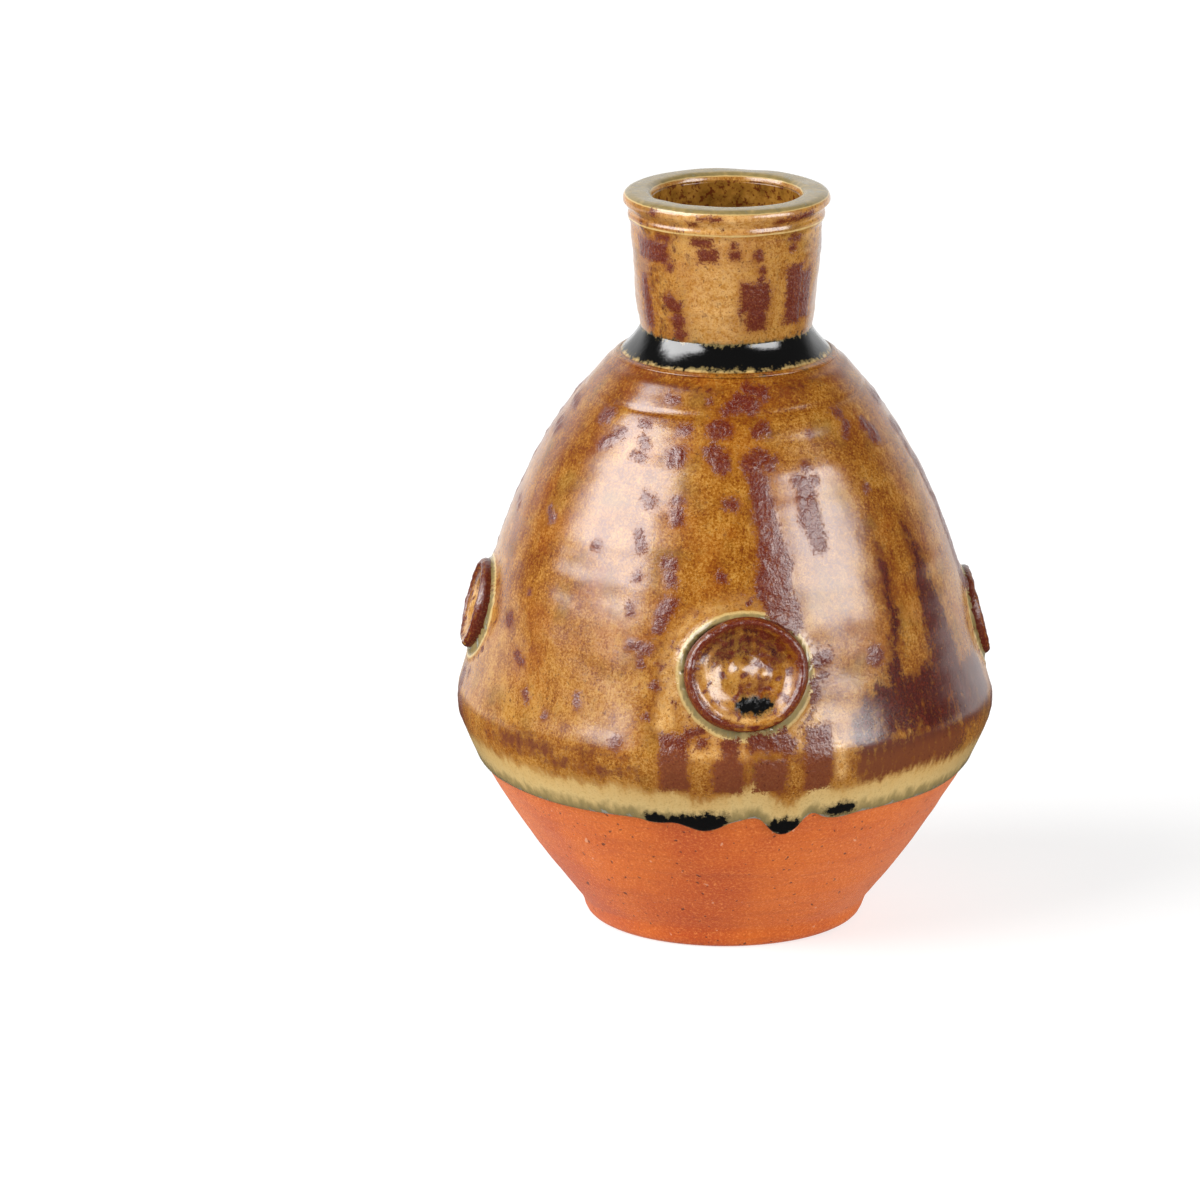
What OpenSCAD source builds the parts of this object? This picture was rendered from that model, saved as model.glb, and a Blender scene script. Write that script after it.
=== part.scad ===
// Thrown stoneware sake bottle: a turned clay foot under a full belly, a neck
// with a collar rim, four pressed discs round the belly, and fired glaze coats.
// Origin at the centre of the foot, +Z up, front disc facing -Y. Millimetres.

/* [Bottle] */
// Height from the foot to the top of the rim
height = 145; // [140:1:156]
// Radius of the flat foot
foot_r = 27.2; // [24:0.2:30]
// Radius of the clay at the widest point of the belly
belly_r = 51.8; // [49:0.2:55]
// Height of the widest point of the belly
belly_z = 43.5; // [40:0.5:47]

/* [Neck] */
// Height of the seam where the neck stands on the shoulder
seam_z = 113.3; // [112.5:0.1:115]
// Outside radius of the clay neck at its root
neck_r = 16.1; // [15.2:0.1:17]
// Outside radius of the clay neck just under the collar
neck_top_r = 18; // [17:0.1:18.6]
// Outside radius of the clay rim
rim_r = 19.5; // [19:0.1:21]
// Height of the collar band, from its raised line to the top
collar_h = 4.5; // [4:0.5:8]
// Radius of the clay mouth
mouth_r = 14.8; // [14:0.1:15.2]
// Depth over which the mouth is a true cylinder
mouth_depth = 10; // [8:0.5:14]

/* [Walls] */
// Thickness of the belly wall, measured level
wall_t = 4.6; // [4:0.1:5.4]
// Thickness of the floor
floor_t = 7; // [5:0.5:9]

/* [Glaze] */
// Thickness of the glaze coats, measured level
glaze_t = 0.5; // [0.3:0.1:0.8]
// Height of the edge where the outer glaze stops above the bare clay
glaze_edge_z = 31.5; // [28:0.5:34]

/* [Discs] */
// Radius of the front disc
disc_r = 10.8; // [9:0.2:12]
// Radius of the discs at the sides and the back
side_disc_r = 8.8; // [8:0.2:11]
// How far the front disc's rim stands out from the clay wall
disc_t = 3.6; // [3:0.1:4.5]
// Height of the front disc's centre
disc_z = 61; // [59:0.5:64]
// Backward lean of the wall behind the discs, in degrees
disc_lean = 15.5; // [13:0.5:18]

/* [Hidden] */
$fn = 96;
curve_steps = 10;          // straight facets in each curved stretch of an outline

// Outline heights and radii that follow from the sizes above
foot_bevel = 1.2;
foot_band_z = 4;           // top of the small upright band above the foot
belly_low = 4.5;           // drop from the widest point to the end of the bowl
belly_high = 3.7;          // rise from the widest point to the start of the dome
shoulder_z = seam_z - 2.3;
shoulder_r = neck_r + 6.7;
seam_r = neck_r + 3.9;     // outer edge of the level seat for the neck
collar_z = height - collar_h;
line_out = 0.5;            // how far the raised line under the collar stands out
rim_round = 1.3;           // corner radius of the rim, inside and out
rim_z = height - glaze_t - rim_round;
bore_r = mouth_r - 1.8;    // clay bore at the seam, narrower than the mouth
bore_top_z = rim_z - mouth_depth;
ring_top_z = seam_z + 5;   // top of the glaze pooled round the neck
floor_r = foot_r - 5;
wall_foot_z = floor_t + 7; // where the floor's rounded corner meets the wall
wall_head_z = seam_z - 9;  // where the wall starts to close in to the bore

// Discs: angle from the front, radius, how far the rim stands out, and height of the centre
discs = [
    [0, disc_r, disc_t, disc_z], [90, side_disc_r, disc_t - 1, disc_z - 1.5],
    [180, side_disc_r, disc_t - 0.6, disc_z], [270, side_disc_r, disc_t - 0.4, disc_z + 1.5]
];

// Glaze runs below the edge: angle from the front disc, width, and drop
runs = [
    [-10, 13, 1.6], [9, 5.5, 3.6], [21, 5, 1], [96, 6, 2], [118, 9, 1.4],
    [155, 5, 3], [197, 12, 1.6], [236, 5.5, 2.6], [261, 8, 1.2]
];

// Points along a curve with one or two leaning points between its ends
function curve3(a, b, c) = [
    for (i = [0:curve_steps])
        let (t = i / curve_steps)
        (1 - t) ^ 2 * a + 2 * t * (1 - t) * b + t ^ 2 * c
];
function curve4(a, b, c, d) = [
    for (i = [0:curve_steps])
        let (t = i / curve_steps)
        (1 - t) ^ 3 * a + 3 * t * (1 - t) ^ 2 * b + 3 * t ^ 2 * (1 - t) * c + t ^ 3 * d
];
function arc(centre, r, from, to) = [
    for (i = [0:curve_steps])
        let (a = from + (to - from) * i / curve_steps)
        centre + r * [cos(a), sin(a)]
];
function reversed(points) = [for (i = [len(points) - 1:-1:0]) points[i]];
function grown(points, t) = [for (p = points) [p.x + t, p.y]];
function above(points, z) = [for (p = points) if (p.y > z) p];
function below(points, z) = [for (p = points) if (p.y < z) p];

// Outside of the clay, from the foot to the seam
foot = [[0, 0], [foot_r - foot_bevel, 0], [foot_r, foot_bevel]];
bowl = curve3([foot_r + 1.1, foot_band_z], [belly_r - 6.8, belly_z - 18.5],
              [belly_r - 1.2, belly_z - belly_low]);
belly = curve3([belly_r - 1.2, belly_z - belly_low], [belly_r + 0.75, belly_z],
               [belly_r - 0.5, belly_z + belly_high]);
dome = curve4([belly_r - 0.5, belly_z + belly_high], [belly_r - 5.4, belly_z + 18.5],
              [belly_r - 7.7, shoulder_z - 22.5], [shoulder_r, shoulder_z]);
wall = concat(bowl, below(above(belly, bowl[curve_steps].y), dome[0].y), dome, [[seam_r, seam_z]]);
function wall_at(z) = [lookup(z, [for (p = wall) [p.y, p.x]]), z];

// Inside of the clay, grown inwards by t: the belly below the seam, then the neck
function belly_inside(t) = let (
    side = grown(below(above(wall, wall_foot_z), wall_head_z), -wall_t - t),
    foot_corner = curve3([floor_r, floor_t + t], [side[0].x - 2, floor_t + t], side[0]),
    head_corner = curve3(side[len(side) - 1], [bore_r + 4 - t, seam_z - 3], [bore_r - t, seam_z])
) concat([[0, floor_t + t]], foot_corner, above(below(side, wall_head_z - 0.1), side[0].y), head_corner);
function neck_inside(t) = [[bore_r - t, seam_z], [mouth_r - t, bore_top_z], [mouth_r - t, rim_z]];

// Outside of the neck, grown outwards by t, from the pooled ring up to the rim
function neck_outside(t) = concat(
    curve3([neck_r + t, ring_top_z], [neck_r + 1.2 + t, ring_top_z + 6], [neck_top_r + t, collar_z - 1.6]),
    [[neck_top_r + line_out + t, collar_z - 0.6], [neck_top_r + line_out + t, collar_z + 0.2],
     [neck_top_r + line_out / 2 + t, collar_z + 0.7]]
);
// The rounded rim, grown by t, from its outside over the top to the mouth
function rim(t) = concat(
    arc([rim_r - rim_round, rim_z], rim_round + t, 0, 90),
    arc([mouth_r + rim_round, rim_z], rim_round + t, 90, 180)
);

module turned(outline) {
    rotate_extrude() polygon(outline);
}

// Everything inside the outer skin of the clay body, without its hollow
module body_envelope() {
    turned(concat(foot, wall, [[0, seam_z]]));
}

module body() {
    color("chocolate")
    turned(concat(foot, wall, reversed(belly_inside(0))));
}

module neck() {
    color("peru")
    turned(concat([[neck_r, seam_z]], neck_outside(0), rim(0), reversed(neck_inside(0))));
}

// Places a disc's own axis square to the leaning wall, angle degrees from the front
module on_wall(angle, z) {
    rotate([0, 0, angle]) translate([0, -wall_at(z).x, z]) rotate([90 - disc_lean, 0, 0]) children();
}

// A disc with a raised rim round a shallow dish, and a low boss in the middle
module disc(place) {
    r = place[1];
    t = place[2];
    root = 4;
    rim_w = 2;
    floor_h = t * 0.53;        // height of the dish's floor
    boss_h = floor_h + 0.7;
    boss_r = r * 0.43;
    color("saddlebrown")
    difference() {
        on_wall(place[0], place[3]) turned([
            [0, -root], [r, -root], [r, t - 0.8], [r - 0.8, t], [r - rim_w, t],
            [r - rim_w - 1, floor_h], [boss_r, floor_h], [boss_r - 0.8, boss_h],
            [boss_r - 1.6, boss_h], [boss_r - 2.6, floor_h], [0, floor_h]
        ]);
        body_envelope();
    }
}
module disc_front() { disc(discs[0]); }
module disc_right() { disc(discs[1]); }
module disc_back() { disc(discs[2]); }
module disc_left() { disc(discs[3]); }

// The glaze coat on the wall between two heights, as a closed skin
module coat(low_z, high_z) {
    clay = concat([wall_at(low_z)], below(above(wall, low_z), high_z), [wall_at(high_z)]);
    turned(concat(clay, reversed(grown(clay, glaze_t))));
}

module body_glaze() {
    color("darkgoldenrod")
    difference() {
        coat(glaze_edge_z, seam_z);
        for (place = discs) on_wall(place[0], place[3]) translate([0, 0, -5]) cylinder(r = place[1], h = 15);
    }
}

// A bar through the wall with a rounded lower end, as wide and as low as one run
module run_bar(angle, width, drop) {
    end_r = min(width / 2, drop);
    inset = width / 2 - end_r;
    outline = concat(
        [for (a = [180:30:270]) [-inset, 0] + end_r * [cos(a), sin(a)]],
        [for (a = [270:30:360]) [inset, 0] + end_r * [cos(a), sin(a)]],
        [[width / 2, 2 * drop], [-width / 2, 2 * drop]]
    );
    rotate([0, 0, angle]) translate([0, -belly_r + 20, glaze_edge_z - drop + end_r])
    rotate([90, 0, 0]) linear_extrude(30) polygon(outline);
}

// Thick dark runs of glaze that hang from the edge of the coat over the bare clay
module glaze_runs() {
    color("darkslategray")
    for (run = runs) intersection() {
        coat(glaze_edge_z - 5, glaze_edge_z);
        run_bar(run[0], run[1], run[2]);
    }
}

module neck_glaze() {
    color("goldenrod")
    turned(concat(neck_outside(glaze_t), rim(glaze_t), reversed(rim(0)), reversed(neck_outside(0))));
}

// Glaze that ran down the neck and pooled thick and black in the seam
module neck_ring_glaze() {
    color("black")
    turned(concat([[neck_r, ring_top_z], [neck_r, seam_z]],
                  curve3([seam_r + glaze_t, seam_z], [neck_r + glaze_t + 0.8, seam_z + 2.9],
                         [neck_r + glaze_t, ring_top_z])));
}

module liner_glaze() {
    color("olive")
    turned(concat(belly_inside(glaze_t), neck_inside(glaze_t),
                  reversed(neck_inside(0)), reversed(belly_inside(0))));
}

body();
neck();
disc_front();
disc_right();
disc_back();
disc_left();
body_glaze();
neck_glaze();
neck_ring_glaze();
glaze_runs();
liner_glaze();
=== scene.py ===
"""Finished looks for the sake bottle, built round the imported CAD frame.

Shapes are worked out in millimetres and turned into metres when a mesh is made. Angles are in
degrees round the bottle: 0 is the middle of the front disc (-Y) and 90 the middle of the right (+X).
"""
import math

import bpy
import numpy as np
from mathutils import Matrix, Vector


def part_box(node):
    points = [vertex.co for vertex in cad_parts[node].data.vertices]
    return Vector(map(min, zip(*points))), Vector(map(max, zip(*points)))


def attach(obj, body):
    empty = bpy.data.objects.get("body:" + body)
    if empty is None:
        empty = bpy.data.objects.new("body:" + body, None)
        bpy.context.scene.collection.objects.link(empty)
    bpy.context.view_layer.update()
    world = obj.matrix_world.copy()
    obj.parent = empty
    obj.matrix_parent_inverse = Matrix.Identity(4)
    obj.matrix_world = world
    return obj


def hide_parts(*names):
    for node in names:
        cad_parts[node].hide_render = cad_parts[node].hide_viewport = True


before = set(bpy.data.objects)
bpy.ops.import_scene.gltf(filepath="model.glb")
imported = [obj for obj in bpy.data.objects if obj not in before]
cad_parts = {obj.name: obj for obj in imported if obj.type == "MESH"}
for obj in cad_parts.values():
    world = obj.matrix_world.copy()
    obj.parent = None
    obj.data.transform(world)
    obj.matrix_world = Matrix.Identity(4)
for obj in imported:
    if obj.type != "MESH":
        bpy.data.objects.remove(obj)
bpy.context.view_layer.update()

MM = 0.001
RAY_ANGLE = 40                # a plain stretch of wall between two discs
COLUMNS = 440                 # angle steps round a finely made skin

# ---------------------------------------------------------------- sizes read from the frame


def low(node):
    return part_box(node)[0] / MM


def high(node):
    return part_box(node)[1] / MM


GLAZE_EDGE = low("body_glaze").z
SEAM = high("body_glaze").z
RING_TOP = high("neck_ring_glaze").z
TOP = high("neck_glaze").z
RIM_R = high("neck_glaze").x
GLAZE_T = TOP - high("neck").z
FLOOR = low("liner_glaze").z
LINER_TOP = high("liner_glaze").z


def direction(angle):
    """Unit steps in x and y away from the axis at an angle."""
    turn = np.radians(angle)
    return np.sin(turn), -np.cos(turn)


def ring_heights(node):
    """Heights at which a turned CAD node has a full ring of vertices."""
    heights = np.round([v.co.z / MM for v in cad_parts[node].data.vertices], 1)
    levels, count = np.unique(heights, return_counts=True)
    return levels[count > 60]


def radius_of(node, height, outside):
    """Radius of a turned CAD node at a height, found by a level ray from outside or from the axis."""
    dx, dy = direction(RAY_ANGLE)
    reach = 100 if outside else 0
    start = Vector((dx * reach, dy * reach, height)) * MM
    way = Vector((dx, dy, 0)) * (-1 if outside else 1)
    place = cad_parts[node].ray_cast(start, way)[1]
    return math.hypot(place.x, place.y) / MM


def smooth(x, y):
    """A smooth function through points, made of cubic stretches."""
    x, y = np.asarray(x, float), np.asarray(y, float)
    slope = np.gradient(y, x)

    def curve(q):
        i = np.clip(np.searchsorted(x, q) - 1, 0, len(x) - 2)
        step = x[i + 1] - x[i]
        t = np.clip((q - x[i]) / step, 0, 1)
        ends = (1 + 2 * t) * (1 - t) ** 2 * y[i] + t ** 2 * (3 - 2 * t) * y[i + 1]
        return ends + step * t * (1 - t) * ((1 - t) * slope[i] - t * slope[i + 1])

    return curve


def side_of(node, outside=True):
    """The radius of a turned CAD node as a smooth function of height."""
    levels = ring_heights(node)
    inset = 0.01
    levels = np.clip(levels, levels[0] + inset, levels[-1] - inset)
    levels = levels[np.append(True, np.diff(levels) > 0.15)]
    return smooth(levels, [radius_of(node, level, outside) for level in levels])


clay_r = side_of("body")
liner_r = side_of("liner_glaze", outside=False)
neck_r = side_of("neck_glaze")
ring_r = side_of("neck_ring_glaze")

# ---------------------------------------------------------------- where the discs are

DISCS = {"disc_front": 0, "disc_right": 90, "disc_back": 180, "disc_left": 270}
DISC_WIDE = 11.8              # half width of the front disc, round the bottle
DISC_TALL = 10.9              # half height, up the wall
DISC_THICK = 3.6              # how far out the CAD disc reaches that DISC_PROFILE was drawn for


def disc_place(node):
    """The height of a disc's middle, and its size as a share of the front disc's."""
    tall = high(node).z - low(node).z
    return (high(node).z + low(node).z) / 2, tall / (high("disc_front").z - low("disc_front").z)


def disc_axes(node):
    """The point of the wall behind a disc's middle, and unit steps sideways, up the wall and outward."""
    middle = disc_place(node)[0]
    dx, dy = direction(DISCS[node])
    lean = math.atan((clay_r(middle - 4) - clay_r(middle + 4)) / 8)
    base = np.array([dx * clay_r(middle), dy * clay_r(middle), middle])
    sideways = np.array([-dy, dx, 0.0])
    upward = np.array([-dx * math.sin(lean), -dy * math.sin(lean), math.cos(lean)])
    outward = np.array([dx * math.cos(lean), dy * math.cos(lean), math.sin(lean)])
    return base, sideways, upward, outward


# ---------------------------------------------------------------- shaping helpers


def lumps(points, size, seed, stretch=(1, 1, 1)):
    """Smooth random heights, mostly from -1 to 1, with bumps about size mm apart."""
    waves = 28
    rng = np.random.default_rng(seed)
    ways = rng.normal(size=(waves, 3))
    ways /= np.linalg.norm(ways, axis=1)[:, None]
    ways *= rng.uniform(0.6, 1.5, waves)[:, None] * 2 * np.pi / size / np.array(stretch)
    phases = rng.uniform(0, 2 * np.pi, waves)
    total = sum(np.sin(points @ way + phase) for way, phase in zip(ways, phases))
    return total * math.sqrt(2 / waves)


def bell(x, width):
    return np.exp(-((x / width) ** 2))


def step_up(x, start, end):
    t = np.clip((x - start) / (end - start), 0, 1)
    return t * t * (3 - 2 * t)


def around(angle, centre):
    """Angle from a centre, between -180 and 180."""
    return (angle - centre + 180) % 360 - 180


def inside_strokes(across, up, strokes, scale=1.0, wrap=False):
    """How far inside the nearest stroke each point is, in mm, and less than 0 outside them all.

    A stroke is a list of (across, up, half width) points; scale turns across into mm.
    """
    field = np.full(np.broadcast(across, up, scale).shape, -9.0)
    for stroke in strokes:
        for (x0, y0, w0), (x1, y1, w1) in zip(stroke, stroke[1:] or stroke):
            x = (around(across, x0) if wrap else across - x0) * scale
            y = up - y0
            dx = (x1 - x0) * scale
            dy = y1 - y0
            t = np.clip((x * dx + y * dy) / (dx * dx + dy * dy + 1e-6), 0, 1)
            depth = w0 + (w1 - w0) * t - np.hypot(x - t * dx, y - t * dy)
            field = np.maximum(field, depth)
    return field


def inside_blocks(angle, height, blocks, scale):
    """The same for rectangles with ragged sides; scale turns degrees into mm."""
    field = np.full(height.shape, -9.0)
    for centre, half, lowest, highest in blocks:
        aside = np.abs(around(angle, centre)) * scale
        field = np.maximum(field, np.minimum(half - aside, np.minimum(height - lowest, highest - height)))
    return field


def placed(angle, radius, height):
    """Points in mm from an angle, a radius and a height, all of one shape."""
    dx, dy = direction(angle)
    return np.stack(np.broadcast_arrays(dx * radius, dy * radius, height), axis=-1)


def leaning(angle, height, side, lift):
    """Points of a turned wall raised by lift, square to the wall."""
    slope = (side(height + 0.3) - side(height - 0.3)) / 0.6
    length = np.hypot(1, slope)
    return placed(angle, side(height) + lift / length, height - lift * slope / length)


def skin(name, points, material, loop=True, caps=False, fields=None):
    """A mesh piece from a grid of points in mm, rows by columns, closed round the columns.

    loop joins the last row to the first. caps closes the first and last rows with a point each.
    fields are numbers kept on the vertices, which the material reads.
    """
    rows, columns = points.shape[:2]
    i = np.arange(rows if loop else rows - 1)[:, None] * columns
    j = np.arange(columns)[None, :]
    beside = (j + 1) % columns
    above = (i + columns) % (rows * columns)
    corners = np.broadcast_arrays(i + j, i + beside, above + beside, above + j)
    faces = np.stack(corners, axis=-1).reshape(-1, 4).tolist()
    vertices = points.reshape(-1, 3)
    if caps:
        first, last = len(vertices), len(vertices) + 1
        vertices = np.vstack([vertices, points[0].mean(0), points[-1].mean(0)])
        end = (rows - 1) * columns
        faces += [[first, (k + 1) % columns, k] for k in range(columns)]
        faces += [[last, end + k, end + (k + 1) % columns] for k in range(columns)]
    mesh = bpy.data.meshes.new(name)
    mesh.from_pydata((vertices * MM).tolist(), [], faces)
    mesh.polygons.foreach_set("use_smooth", np.ones(len(mesh.polygons), bool))
    for key, values in (fields or {}).items():
        values = np.broadcast_to(values, (rows, columns)).ravel()
        if caps:
            values = np.append(values, [values[0], values[-1]])
        mesh.attributes.new(key, "FLOAT", "POINT").data.foreach_set("value", values)
    mesh.materials.append(material)
    piece = bpy.data.objects.new(name, mesh)
    bpy.context.scene.collection.objects.link(piece)
    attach(piece, "root")
    return piece


# ---------------------------------------------------------------- material helpers


class Tree:
    """A material's node tree, with short calls that add nodes and link them."""

    def __init__(self, name):
        self.material = bpy.data.materials.new(name)
        self.material.use_nodes = True
        self.shader = self.material.node_tree.nodes["Principled BSDF"]
        self.place = self.node("ShaderNodeTexCoord", {}, "Object")

    def node(self, kind, values, output=0, **settings):
        made = self.material.node_tree.nodes.new(kind)
        for key, value in settings.items():
            setattr(made, key, value)
        for key, value in values.items():
            self.put(made.inputs[key], value)
        return made.outputs[output]

    def put(self, socket, value):
        if isinstance(value, bpy.types.NodeSocket):
            self.material.node_tree.links.new(value, socket)
        else:
            socket.default_value = value

    def math(self, operation, a, b=0.0, c=0.0):
        return self.node("ShaderNodeMath", {0: a, 1: b, 2: c}, operation=operation)

    def ramp(self, value, start, end):
        """0 where value is below start, 1 above end, and smooth between."""
        inputs = {"Value": value, "From Min": start, "From Max": end}
        return self.node("ShaderNodeMapRange", inputs, interpolation_type="SMOOTHSTEP")

    def field(self, name):
        return self.node("ShaderNodeAttribute", {}, "Fac", attribute_name=name)

    def noise(self, size, detail=3.0, stretch=(1, 1, 1), rough=0.55, shift=0.0):
        """Noise from 0 to 1 with features about size mm across, stretched along each axis."""
        scale = tuple(1 / (size * MM * s) for s in stretch)
        inputs = {"Vector": self.place, "Scale": scale, "Location": (shift, shift, shift)}
        at = self.node("ShaderNodeMapping", inputs)
        inputs = {"Vector": at, "Scale": 1.0, "Detail": detail, "Roughness": rough}
        return self.node("ShaderNodeTexNoise", inputs)

    def mix(self, amount, a, b):
        made = self.material.node_tree.nodes.new("ShaderNodeMix")
        made.data_type = "RGBA"
        self.put(made.inputs["Factor"], amount)
        self.put(made.inputs[6], a)
        self.put(made.inputs[7], b)
        return made.outputs[2]

    def tint(self, base, share, most, colour):
        """The base colour turned towards another by share, from 0 to 1, times most."""
        return self.mix(self.math("MULTIPLY", share, most), base, colour)

    def plus(self, base, value, times):
        """base + value * times."""
        return self.math("MULTIPLY_ADD", value, times, base)

    def colours(self, value, stops):
        """A colour that runs through stops, a list of (place, colour)."""
        made = self.material.node_tree.nodes.new("ShaderNodeValToRGB")
        self.put(made.inputs[0], value)
        elements = made.color_ramp.elements
        while len(elements) < len(stops):
            elements.new(0.5)
        for element, (place, colour) in zip(elements, stops):
            element.position = place
            element.color = colour
        return made.outputs[0]

    def bump(self, height, depth, under=None):
        """A normal raised by height, from 0 to 1, times depth in mm."""
        inputs = {"Height": height, "Distance": depth * MM, "Strength": 1.0}
        if under is not None:
            inputs["Normal"] = under
        return self.node("ShaderNodeBump", inputs)

    def finish(self, **sockets):
        for key, value in sockets.items():
            self.put(self.shader.inputs[key.replace("_", " ")], value)
        return self.material


def srgb(red, green, blue):
    """A linear colour from everyday 0 to 255 values."""
    parts = [c / 255 for c in (red, green, blue)]
    return tuple(c / 12.92 if c < 0.04 else ((c + 0.055) / 1.055) ** 2.4 for c in parts) + (1.0,)


# ---------------------------------------------------------------- materials


def clay_material():
    """Bare terracotta: matte and sandy, with dark and pale grains and a warm drift of colour."""
    t = Tree("bare_clay")
    drift = t.noise(26, 2)
    grain = t.noise(0.5, 4, rough=0.8)
    turning = t.noise(1.2, 3, stretch=(14, 14, 1))
    body = t.mix(t.ramp(drift, 0.35, 0.65), srgb(178, 76, 24), srgb(197, 96, 25))
    body = t.tint(body, t.ramp(grain, 0.5, 0.3), 0.45, srgb(134, 48, 14))
    body = t.tint(body, t.ramp(grain, 0.5, 0.72), 0.9, srgb(220, 136, 68))
    body = t.tint(body, t.ramp(turning, 0.5, 0.7), 0.2, srgb(150, 66, 28))
    dark = t.ramp(t.noise(1.1, 2, rough=0.4, shift=3), 0.69, 0.73)
    body = t.tint(body, dark, 0.75, srgb(62, 28, 18))
    pale = t.ramp(t.noise(1.5, 2, rough=0.4, shift=9), 0.73, 0.77)
    body = t.tint(body, pale, 0.7, srgb(205, 150, 115))
    normal = t.bump(grain, 0.16)
    normal = t.bump(turning, 0.05, normal)
    normal = t.bump(dark, -0.06, normal)
    return t.finish(Base_Color=body, Roughness=0.8, Specular_IOR_Level=0.25,
                    Sheen_Weight=0.12, Sheen_Roughness=0.4, Normal=normal)


def glaze_material(name):
    """Fired amber glaze. It reads five fields from the mesh.

    russet and pool are mm inside a russet break or a black pool. edge is mm from the lower edge, or
    from another pale line. brown and pale run from 0 to 1 over broad stretches; pale is partly pale glaze
    and partly painted highlight.
    """
    t = Tree(name)
    fine = t.noise(0.45, 4, rough=0.75)
    ragged = t.noise(1.3, 5, rough=0.75, shift=5)
    mottle = t.noise(6, 7, rough=0.66, shift=2)
    broad = t.noise(20, 2, shift=7)
    runs = t.noise(1.5, 3, stretch=(1, 1, 6), shift=4)
    turning = t.noise(0.8, 2, stretch=(18, 18, 1), shift=1)
    height = t.node("ShaderNodeSeparateXYZ", {0: t.place}, 2)
    fine_swing = t.math("SUBTRACT", fine, 0.5)
    ragged_swing = t.math("SUBTRACT", ragged, 0.5)
    runs_swing = t.math("SUBTRACT", runs, 0.5)

    # amber, deeper and lighter by turns, and deeper towards the shoulder
    tone = t.plus(0.42, t.math("SUBTRACT", mottle, 0.5), 1.9)
    tone = t.plus(tone, t.math("SUBTRACT", broad, 0.5), 1.2)
    tone = t.plus(tone, fine_swing, 3.6)
    tone = t.plus(tone, runs_swing, 1.2)
    tone = t.plus(tone, t.ramp(height, 0.085, 0.058), 0.15)
    tone = t.plus(tone, t.ramp(height, 0.100, 0.112), -0.05)
    tone = t.plus(tone, t.ramp(height, 0.113, 0.120), 0.35)
    throwing = t.math("MULTIPLY", t.ramp(height, 0.085, 0.105), t.ramp(height, 0.116, 0.112))
    throwing = t.math("MULTIPLY", t.math("SUBTRACT", turning, 0.5), throwing)
    tone = t.plus(tone, throwing, 0.6)
    body = t.colours(tone, [
        (0.0, srgb(104, 48, 4)), (0.3, srgb(130, 76, 10)), (0.6, srgb(146, 92, 22)),
        (1.0, srgb(172, 124, 54)),
    ])
    olive = t.ramp(t.noise(9, 3, shift=12), 0.52, 0.72)
    body = t.tint(body, olive, 0.45, srgb(116, 86, 28))
    orange = t.ramp(t.noise(11, 4, shift=15), 0.5, 0.66)
    body = t.tint(body, orange, 0.2, srgb(144, 68, 6))
    stipple = t.math("MULTIPLY", t.ramp(t.noise(0.6, 3, shift=16), 0.54, 0.64),
                     t.ramp(t.noise(9, 3, shift=17), 0.46, 0.62))
    body = t.tint(body, stipple, 0.45, srgb(84, 36, 6))
    # cream where the pale field is high: pale glaze in places, painted highlight in others
    cream_and_highlight = t.mix(t.ramp(ragged, 0.35, 0.62), srgb(172, 118, 48), srgb(216, 172, 108))
    cream_and_highlight = t.tint(cream_and_highlight, t.ramp(fine, 0.5, 0.35), 0.5, srgb(138, 84, 26))
    body = t.tint(body, t.field("pale"), 0.85, cream_and_highlight)

    # broad dark brown, then the crisp russet breaks
    brown = t.plus(t.field("brown"), ragged_swing, 2.0)
    brown = t.plus(brown, runs_swing, 1.4)
    brown = t.plus(brown, fine_swing, 1.6)
    rust = t.mix(t.ramp(ragged, 0.45, 0.7), srgb(62, 9, 3), srgb(92, 32, 9))
    rust = t.mix(t.ramp(height, 0.048, 0.043), rust, srgb(104, 54, 26))
    body = t.mix(t.ramp(brown, 0.15, 0.85), body, rust)
    russet = t.plus(t.math("ADD", t.field("russet"), 0.2), ragged_swing, 3.2)
    russet = t.plus(russet, fine_swing, 5.0)
    body = t.tint(body, t.ramp(russet, -1.1, 0.2), 0.5, srgb(114, 48, 4))
    inner = t.mix(t.ramp(russet, 0.4, 2.2), srgb(82, 14, 4), srgb(90, 28, 15))
    inner = t.mix(t.ramp(height, 0.050, 0.044), inner, srgb(102, 48, 24))
    inner = t.tint(inner, t.ramp(fine, 0.5, 0.64), 0.6, srgb(128, 68, 30))
    in_russet = t.ramp(russet, -0.4, 0.35)
    body = t.tint(body, in_russet, 0.92, inner)
    specks = t.math("MAXIMUM", t.ramp(t.noise(0.9, 2, rough=0.5, shift=11), 0.68, 0.74),
                    t.ramp(t.noise(0.5, 2, rough=0.5, shift=14), 0.62, 0.72))
    body = t.tint(body, specks, 0.6, srgb(70, 26, 6))

    # the lower edge: a pale lip, olive grey, then cream
    climb = t.plus(t.field("edge"), runs_swing, 4.5)
    climb = t.plus(climb, fine_swing, 2.4)
    band = t.colours(t.math("DIVIDE", climb, 10.0), [
        (0.0, srgb(133, 134, 122)), (0.06, srgb(118, 104, 66)), (0.2, srgb(142, 122, 76)),
        (0.34, srgb(190, 162, 106)), (0.62, srgb(186, 152, 92)), (0.85, srgb(154, 108, 46)),
    ])
    band = t.tint(band, t.ramp(fine, 0.5, 0.68), 0.4, srgb(116, 94, 50))
    on_band = t.math("SUBTRACT", 1.0, t.ramp(climb, 6.2, 9.0))
    on_band = t.math("MULTIPLY", on_band, t.math("SUBTRACT", 1.0, in_russet))
    body = t.mix(on_band, body, band)

    # black pools
    pool = t.plus(t.math("ADD", t.field("pool"), 0.35), ragged_swing, 3.5)
    pool = t.plus(pool, runs_swing, 2.5)
    in_pool = t.ramp(pool, -0.15, 0.25)
    body = t.tint(body, t.ramp(pool, -0.9, 0.0), 0.6, srgb(60, 52, 30))
    body = t.mix(in_pool, body, srgb(4, 4, 4))

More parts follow.
